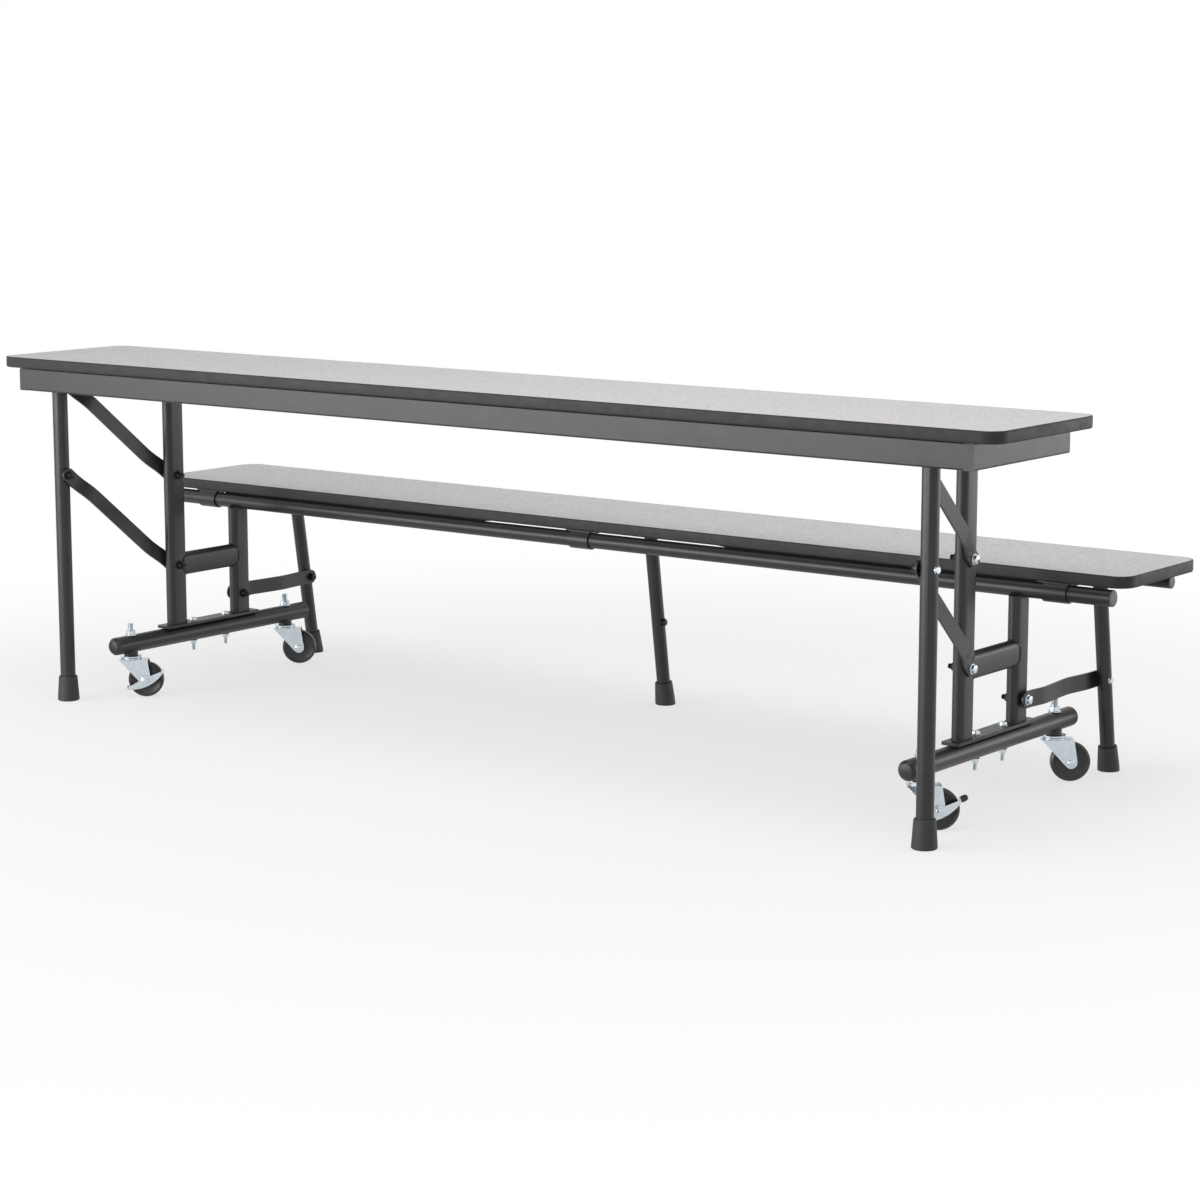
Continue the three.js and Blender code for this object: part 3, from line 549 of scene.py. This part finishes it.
# %% [markdown]
# ## Folded sheet metal
# The aprons and the rear rail are sheet steel folded on a press brake, so their corners are bends. The
# construction draws them sharp. The bend under the vinyl band matters to the eye, because it leaves a thin
# dark line there. A folded sheet is drawn as the line of its outside face: each corner becomes an arc, the
# same line one thickness further in closes the section, and the section is swept along the piece.

# %% Folded sections
SHEET = 2 * MM
BEND_RADIUS = 4 * MM  # of the outside face
BEND_STEPS = 5


def folded_section(path):
    """Closed outline of a sheet whose outside face follows path, with each square corner bent round."""
    points = [Vector(point) for point in path]
    ways = [(after - before).normalized() for before, after in zip(points, points[1:])]
    outer, inner = [points[0]], [points[0] + SHEET * ways[1]]
    for corner, into, out in zip(points[1:], ways, ways[1:]):
        centre = corner + BEND_RADIUS * (out - into)
        for step in range(BEND_STEPS + 1):
            angle = math.pi / 2 * step / BEND_STEPS
            spoke = into * math.sin(angle) - out * math.cos(angle)
            outer.append(centre + BEND_RADIUS * spoke)
            inner.append(centre + (BEND_RADIUS - SHEET) * spoke)
    outer.append(points[-1])
    inner.append(points[-1] - SHEET * ways[-2])
    return outer + inner[::-1]


def sweep(mesh, layers):
    """Join layers of points into one closed solid."""
    rows = [[mesh.verts.new(point) for point in layer] for layer in layers]
    join_layers(mesh, rows)
    mesh.faces.new(list(reversed(rows[0])))
    mesh.faces.new(rows[-1])
    bmesh.ops.recalc_face_normals(mesh, faces=mesh.faces)


def sweep_along_x(mesh, section, start, end):
    sweep(mesh, [[(x, u, v) for u, v in section] for x in (start, end)])


def add_sheet(name, mesh, body):
    """A coated sheet piece, shaded so that its wide faces stay flat right up to the bends."""
    piece = add_piece(name, mesh, POWDER_COAT, body)
    flat = piece.modifiers.new("flat_faces", "WEIGHTED_NORMAL")
    flat.keep_sharp = True
    return piece


print("bends of", BEND_RADIUS / MM, "mm")

# %% Aprons and rear rail
APRON_LIP = 6 * MM
NOTCH = 2.5 * MM  # cut from the top of the front apron past its bends, where the end aprons begin
END_GAP = 0.3 * MM  # between those bends and an end apron

low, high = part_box("front_apron")
bends_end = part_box("right_end_apron")[0].x - END_GAP
mesh = bmesh.new()
apron_path = [(high.y, high.z), (low.y, high.z), (low.y, low.z), (low.y + APRON_LIP, low.z)]
sweep_along_x(mesh, folded_section(apron_path), -bends_end, bends_end)
tab = [(low.y, high.z - NOTCH), (low.y, low.z), (low.y + SHEET, low.z), (low.y + SHEET, high.z - NOTCH)]
for sign in SIDES.values():
    sweep_along_x(mesh, tab, sign * bends_end, sign * high.x)
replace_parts(add_sheet("front_apron_sheet", mesh, "tabletop"), "front_apron")

for side in SIDES:
    low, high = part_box(f"{side}_end_apron")
    inner_x, outer_x = sorted((low.x, high.x), key=abs)
    section = folded_section([(inner_x, high.z), (outer_x, high.z), (outer_x, low.z), (inner_x, low.z)])
    mesh = bmesh.new()
    sweep(mesh, [[(u, y, v) for u, v in section] for y in (low.y, high.y)])
    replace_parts(add_sheet(f"{side}_end_apron_sheet", mesh, "tabletop"), f"{side}_end_apron")

low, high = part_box("rear_rail")
mesh = bmesh.new()
rail_path = [(low.y, high.z), (high.y, high.z), (high.y, low.z), (low.y, low.z)]
sweep_along_x(mesh, folded_section(rail_path), low.x, high.x)
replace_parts(add_sheet("rear_rail_sheet", mesh, "tabletop"), "rear_rail")
print("folded aprons and rear rail")

# %% [markdown]
# ## Straps and links
# The straps of the rear legs and the links of the front legs are flat bars, and the photograph shows how
# they are bent. A strap bends out from its upright, back in, and out again to the leg. A link steps out
# close to its upright, runs nearly straight, and steps out again beside the leg. The construction has one
# plain step in each. A bar is made of short lengths with round ends, and each length is moved sideways
# along the course of the bar. Averaging a few places of that course rounds its bends.

# %% Bent bars
STRAP_STEP, LINK_STEP = 4.6, 42.2  # mm from the frame's side out to the leg's, as in the construction
# places along a bar from its frame pivot to its leg pivot and past both, as (share of the way, mm out)
STRAP_COURSE = [(-0.2, 0), (0.07, 0), (0.22, 5.3), (0.61, -4), (0.86, STRAP_STEP), (1.2, STRAP_STEP)]
LINK_COURSE = [(-0.2, 0), (0.07, 0), (0.18, 16), (0.80, 27.5), (0.92, LINK_STEP), (1.2, LINK_STEP)]
BEND_SPREAD = (-0.04, -0.02, 0, 0.02, 0.04)  # the places that are averaged
BAR_LENGTHS = 96
BLUNT_END = 2 * MM  # half the width at the very end


def course_at(course, share):
    for (start, out), (end, out_after) in zip(course, course[1:]):
        if share <= end:
            return out + (out_after - out) * (share - start) / (end - start)


def bent_bar(start, end, half_width, thickness, inner_face, course, sign):
    """Mesh of a flat bar with round ends round two pivots, bent sideways along its course."""
    span = (end - start).length
    along = (end - start) / span
    layers = []
    for step in range(BAR_LENGTHS + 1):
        angle = math.pi * step / BAR_LENGTHS  # closer together towards the round ends
        reach = span / 2 - (span / 2 + half_width) * math.cos(angle)
        past_pivot = max(-reach, reach - span, 0)
        half = math.sqrt(max(half_width**2 - past_pivot**2, BLUNT_END**2))
        out = sum(course_at(course, reach / span + shift) for shift in BEND_SPREAD) / len(BEND_SPREAD)
        x, middle = inner_face + out * MM, start + reach * along
        corners = [(x, half), (x + thickness, half), (x + thickness, -half), (x, -half)]
        layers.append([(sign * u, middle.y - v * along.z, middle.z + v * along.y) for u, v in corners])
    mesh = bmesh.new()
    sweep(mesh, layers)
    return mesh


print("a link is", course_at(LINK_COURSE, 0.5), "mm out half way")

# %% Straps and links
STRAP = (STRAP_HALF_WIDTH, STRAP_THICKNESS)
LINK = (15 * MM, 5 * MM)  # half of its width, and its thickness
BENT_BARS = {
    "strap": (strap_frame, strap_leg, *STRAP, STRAP_COURSE, "straps"),
    "lower_link": (pivot["lower_link_swing"], leg_low, *LINK, LINK_COURSE, "lower_links"),
    "upper_link": (pivot["upper_link_swing"], leg_top, *LINK, LINK_COURSE, "upper_links"),
}
for name, (start, end, half_width, thickness, course, body) in BENT_BARS.items():
    inner_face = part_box(f"right_{name}")[0].x
    for side, sign in SIDES.items():
        mesh = bent_bar(start, end, half_width, thickness, inner_face, course, sign)
        bar = add_piece(f"{side}_{name}_bar", mesh, POWDER_COAT, body)
        smooth_edges(bar, USUAL_EDGE_ROUND)
        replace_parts(bar, f"{side}_{name}")
    print(name, "bars", round((end - start).length, 4), "m between pivots")

# %% [markdown]
# ## Seat stiffeners
# Between its collars the front tube hangs a few millimetres under the seat. The photograph shows light
# through that slit round the middle collar and outside the end collars, and none between. So something
# stands behind the tube there. It is taken to be a folded steel angle on each side of the middle, screwed
# to the underside so that the long seat doesn't sag. Its inner end is cut to a slope.

# %% Seat stiffeners
ANGLE_START, ANGLE_SLOPE, ANGLE_REACH = 265 * MM, 90 * MM, 1068 * MM
ANGLE_BEHIND = 37 * MM  # behind the tube's axis
ANGLE_FLANGE, ANGLE_DEPTH, ANGLE_NARROW = 25 * MM, 15 * MM, 5 * MM
SEAT_GAP = 0.3 * MM

angle_front = pivot["bench_fold"].y + ANGLE_BEHIND
angle_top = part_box("bench_board")[0].z - SEAT_GAP
angle_stations = ((ANGLE_START, ANGLE_NARROW), (ANGLE_START + ANGLE_SLOPE, ANGLE_DEPTH),
                  (ANGLE_REACH, ANGLE_DEPTH))
for side, sign in SIDES.items():
    layers = []
    for x, depth in angle_stations:
        path = [(angle_front + ANGLE_FLANGE, angle_top), (angle_front, angle_top),
                (angle_front, angle_top - depth)]
        layers.append([(sign * x, u, v) for u, v in folded_section(path)])
    mesh = bmesh.new()
    sweep(mesh, layers)
    add_sheet(f"{side}_seat_stiffener", mesh, "bench")
print("seat stiffeners", round(ANGLE_REACH - ANGLE_START, 3), "m long")

# %% [markdown]
# ## Screws under the boards
# Aprons, tracks, brackets and the bench's collars and saddles are all screwed up into the boards. The
# heads sit on the lower face of each flange or plate. They show when the unit is folded, or from below.
# All the screws of one carrier make one piece.

# %% Screws
BRACKET_SHEET, HANGER_SHEET = 3 * MM, 2.5 * MM
FLANGE_INSET, SIDE_INSET, ANGLE_INSET = 9 * MM, 8 * MM, 14 * MM  # of a screw from the edge of its carrier
APRON_SCREWS, RAIL_SCREWS, SIDE_SCREWS, BRACKET_SCREWS, ANGLE_SCREWS = 8, 7, 3, 2, 4


def add_screws(carrier, body, xs, ys, under):
    mesh = bmesh.new()
    for x in xs:
        for y in ys:
            stack_rings(mesh, SCREW, Vector((x, y, under)), (0, 0, -1))
    add_piece(f"{carrier}_screws", mesh, ZINC, body)


def spread(low, high, count):
    """Evenly spaced places, half a step in from both ends."""
    return [low + (high - low) * (step + 0.5) / count for step in range(count)]


print("a screw head stands", max(height for height, _, _ in SCREW), "mm high")

# %% Screws in the boards
low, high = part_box("front_apron")
add_screws("front_apron", "tabletop", spread(low.x, high.x, APRON_SCREWS), [low.y + FLANGE_INSET],
           high.z - SHEET)
low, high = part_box("rear_rail")
add_screws("rear_rail", "tabletop", spread(low.x, high.x, RAIL_SCREWS), [high.y - FLANGE_INSET],
           high.z - SHEET)
for side, sign in SIDES.items():
    for name in ("end_apron", "roller_track"):
        low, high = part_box(f"{side}_{name}")
        inner = min(abs(low.x), abs(high.x)) + SIDE_INSET
        add_screws(f"{side}_{name}", "tabletop", [sign * inner], spread(low.y, high.y, SIDE_SCREWS),
                   high.z - SHEET)
    low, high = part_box(f"{side}_leg_bracket")
    add_screws(f"{side}_leg_bracket", "tabletop", spread(low.x, high.x, BRACKET_SCREWS),
               [high.y - SIDE_INSET], high.z - BRACKET_SHEET)
    along = spread(sign * ANGLE_START, sign * ANGLE_REACH, ANGLE_SCREWS)
    add_screws(f"{side}_seat_stiffener", "bench", along, [angle_front + ANGLE_INSET], angle_top - SHEET)
for spot in ("left", "middle", "right"):
    for name in ("bench_collar", "tube_saddle"):
        low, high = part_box(f"{spot}_{name}")
        add_screws(f"{spot}_{name}", "bench", [low.x + SIDE_INSET, high.x - SIDE_INSET],
                   [high.y - FLANGE_INSET], high.z - HANGER_SHEET)
print("screws placed")

# %% [markdown]
# ## Welds
# The uprights are welded to the base plates, the cross rails to the uprights, and the seat's front tube to
# the short uprights. A weld bead follows the line where two pieces meet, and it has fine ripples from the
# moving torch. Each bead is a tube round a closed path, whose radius swells and shrinks along the way. The
# coat covers it like the rest.

# %% Bead shapes
BEAD_RADIUS = 1.7 * MM
RIPPLE_LENGTH = 2.4 * MM
RIPPLE_SHARE = 0.16
POINTS_PER_RIPPLE = 3
BEAD_SIDES = 6


def oval_loop(width, depth):
    """Points (u, v) round a flat oval, close enough together to draw the ripples."""
    radius, straight = width / 2, depth - width
    length = 2 * straight + math.pi * width
    count = POINTS_PER_RIPPLE * round(length / RIPPLE_LENGTH)
    points = []
    for step in range(count):
        along = length * step / count
        turn_end, back_end = straight + math.pi * radius, 2 * straight + math.pi * radius
        if along < straight:
            points.append((radius, along - straight / 2))
        elif along < turn_end:
            angle = (along - straight) / radius
            points.append((radius * math.cos(angle), straight / 2 + radius * math.sin(angle)))
        elif along < back_end:
            points.append((-radius, straight / 2 - (along - turn_end)))
        else:
            angle = math.pi + (along - back_end) / radius
            points.append((radius * math.cos(angle), -straight / 2 + radius * math.sin(angle)))
    return points


def box_loop(width, depth):
    """Points (u, v) round a rectangle, as close together."""
    half_u, half_v = width / 2, depth / 2
    corners = [(half_u, -half_v), (half_u, half_v), (-half_u, half_v), (-half_u, -half_v)]
    points = []
    for (u, v), (next_u, next_v) in zip(corners, corners[1:] + corners[:1]):
        count = POINTS_PER_RIPPLE * round((abs(next_u - u) + abs(next_v - v)) / RIPPLE_LENGTH)
        points += [(u + (next_u - u) * k / count, v + (next_v - v) * k / count) for k in range(count)]
    return points


def weld_bead(name, path, body):
    mesh = bmesh.new()
    centre = sum(path, Vector()) / len(path)
    layers = []
    for index, point in enumerate(path):
        along = (path[(index + 1) % len(path)] - path[index - 1]).normalized()
        across = along.cross(point - centre).normalized()
        outward = across.cross(along)
        swell = 1 + RIPPLE_SHARE * math.sin(2 * math.pi * index / POINTS_PER_RIPPLE)
        layer = []
        for step in range(BEAD_SIDES):
            angle = 2 * math.pi * step / BEAD_SIDES
            way = outward * math.cos(angle) + across * math.sin(angle)
            layer.append(mesh.verts.new(point + BEAD_RADIUS * swell * way))
        layers.append(layer)
    join_layers(mesh, layers + layers[:1])
    bmesh.ops.recalc_face_normals(mesh, faces=mesh.faces)
    add_piece(name, mesh, POWDER_COAT, body)


print("beads of", 2 * BEAD_RADIUS / MM, "mm")

# %% Welds of the end frames
tall_y, short_y = pivot["tabletop_tilt"].y, pivot["bench_fold"].y
tube_low, tube_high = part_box("bench_front_tube")
radius, tube_z = (tube_high.z - tube_low.z) / 2, pivot["bench_fold"].z
for side in SIDES:
    rail_low, rail_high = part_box(f"{side}_cross_rail")
    middle_x, middle_z = (rail_low.x + rail_high.x) / 2, (rail_low.z + rail_high.z) / 2
    loop = oval_loop(rail_high.x - rail_low.x, rail_high.z - rail_low.z)
    plate_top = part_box(f"{side}_base_plate")[1].z
    nose = (rail_high.x - rail_low.x) / 2
    for name, y, way in (("tall", tall_y, 1), ("short", short_y, -1)):
        weld_bead(f"{side}_{name}_foot_weld", [Vector((middle_x + u, y + v, plate_top)) for u, v in loop],
                  "base_frame")
        on_nose = [way * (nose + math.sqrt(max(nose**2 - u**2, 0))) for u, v in loop]
        path = [Vector((middle_x + u, y + reach, middle_z + v)) for (u, v), reach in zip(loop, on_nose)]
        weld_bead(f"{side}_{name}_rail_weld", path, "base_frame")
    reach = math.sqrt(radius**2 - (tube_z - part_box(f"{side}_short_upright")[1].z) ** 2)
    seat = box_loop(2 * nose, 2 * reach)
    path = [Vector((middle_x + u, short_y + v, tube_z - math.sqrt(radius**2 - v**2))) for u, v in seat]
    weld_bead(f"{side}_seat_tube_weld", path, "base_frame")
print("weld beads", 5 * len(SIDES))

# %% [markdown]
# ## Floor and light
# A catalogue picture of a dark frame needs big soft lights: one to the left and one at the right, behind,
# give the tubes their bright edges, a third overhead draws the shadow, and a pale surround fills the rest.
# The background has to be plain white, and more light would bleach the laminate. So the rays that show
# the background to the camera, or to the metal, see plain white, and the object feels a weaker surround.
# The floor is partly that same white, so that its shadow stays pale, and wholly white further away.

# %% Floor
SHADOW_SHARE = 0.35  # how much of the floor's shadow shows
FADE_START, FADE_END = 0.9, 2.6  # metres from the middle, where the floor turns plain white
FLOOR_REACH = 30.0
FLOOR_DROP = 0.5 * MM  # keeps the floor clear of the soles


def sees_background(tree):
    path = add_node(tree, "ShaderNodeLightPath")
    seen = path.outputs["Is Camera Ray"]
    for ray in ("Is Glossy Ray", "Is Transmission Ray"):
        either = {0: seen, 1: path.outputs[ray]}
        seen = add_node(tree, "ShaderNodeMath", {"operation": "MAXIMUM"}, either).outputs[0]
    return seen


def make_floor():
    material, tree, shader, place = new_material("white_studio_paper", Roughness=0.9)
    shader.inputs["Base Color"].default_value = linear("#F6F6F6")
    shader.inputs["Specular IOR Level"].default_value = 0.0
    away = add_node(tree, "ShaderNodeVectorMath", {"operation": "LENGTH"}, {0: place})
    fade = add_node(tree, "ShaderNodeMapRange", {"interpolation_type": "SMOOTHSTEP"}, {
        "Value": away.outputs["Value"], "From Min": FADE_START, "From Max": FADE_END,
        "To Min": 1 - SHADOW_SHARE, "To Max": 1.0})
    both = {0: sees_background(tree), 1: fade.outputs["Result"]}
    share = add_node(tree, "ShaderNodeMath", {"operation": "MULTIPLY"}, both)
    white = add_node(tree, "ShaderNodeEmission", None, {"Color": grey(1), "Strength": 1.0})
    blend = {0: share.outputs[0], 1: shader.outputs[0], 2: white.outputs[0]}
    mix = add_node(tree, "ShaderNodeMixShader", None, blend)
    tree.links.new(mix.outputs[0], tree.nodes["Material Output"].inputs["Surface"])
    mesh = bpy.data.meshes.new("studio_floor")
    signs = ((-1, -1), (1, -1), (1, 1), (-1, 1))
    corners = [(x * FLOOR_REACH, y * FLOOR_REACH, -FLOOR_DROP) for x, y in signs]
    mesh.from_pydata(corners, [], [(0, 1, 2, 3)])
    mesh.materials.append(material)
    floor = bpy.data.objects.new("studio_floor", mesh)
    bpy.context.scene.collection.objects.link(floor)


make_floor()
print("floor reaches", FLOOR_REACH, "m")

# %% Surround
SURROUND = 0.5  # strength as the object feels it


def make_surround():
    world = bpy.data.worlds.new("studio_surround")
    world.use_nodes = True
    bpy.context.scene.world = world
    tree = world.node_tree
    tree.nodes.clear()
    felt, seen = (add_node(tree, "ShaderNodeBackground", None, {"Color": grey(1), "Strength": strength})
                  for strength in (SURROUND, 1.0))
    blend = {0: sees_background(tree), 1: felt.outputs[0], 2: seen.outputs[0]}
    mix = add_node(tree, "ShaderNodeMixShader", None, blend)
    add_node(tree, "ShaderNodeOutputWorld", None, {"Surface": mix.outputs[0]})


make_surround()
print("surround of strength", SURROUND)

# %% Softboxes
def add_softbox(name, place, target, width, height, power):
    data = bpy.data.lights.new(name, "AREA")
    data.shape = "RECTANGLE"
    data.size = width
    data.size_y = height
    data.energy = power
    lamp = bpy.data.objects.new(name, data)
    lamp.location = place
    lamp.rotation_euler = (Vector(target) - Vector(place)).to_track_quat("-Z", "Y").to_euler()
    lamp.visible_camera = False
    bpy.context.scene.collection.objects.link(lamp)


add_softbox("left_softbox", (-2.3, -4.6, 0.85), (0.3, 0, 0.65), 4.4, 1.5, 180)
add_softbox("right_softbox", (3.1, 4.0, 0.55), (0, 0, 0.55), 4.0, 1.0, 42)
add_softbox("overhead_softbox", (0.9, -0.8, 3.0), (0.6, -0.2, 0.5), 2.0, 2.0, 29)
bpy.context.scene.view_settings.view_transform = "Standard"
print("three softboxes")

# %% [markdown]
# ## The end

# %% The end
print("the end")
